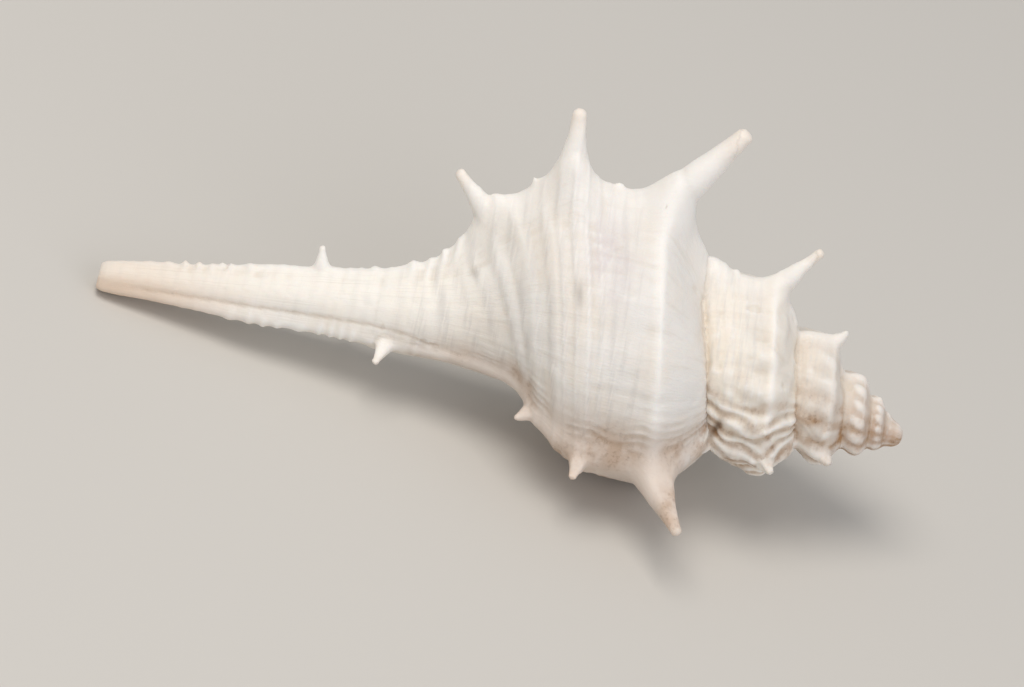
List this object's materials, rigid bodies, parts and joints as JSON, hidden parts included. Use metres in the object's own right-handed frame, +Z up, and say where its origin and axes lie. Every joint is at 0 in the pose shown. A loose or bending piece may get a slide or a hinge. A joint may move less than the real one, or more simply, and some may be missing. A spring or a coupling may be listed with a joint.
{
  "type": "murex shell",
  "caption": "Spiny murex sea shell with a long narrow siphonal canal and an open mouth, lying on its side; a natural ornament.",
  "frame": {"origin": "on the surface the shell lies on, under the middle of its box", "axes": "+X towards the spire's apex, -X towards the canal's tip, +Y towards the side the mouth opens to, +Z up"},
  "size_m": [0.0694, 0.0284, 0.0314],
  "materials": {
    "shell": "matt, worn cream-white shell with tan stains"
  },
  "bodies": {
    "root": {"shell": "shell"}
  },
  "joints": []
}
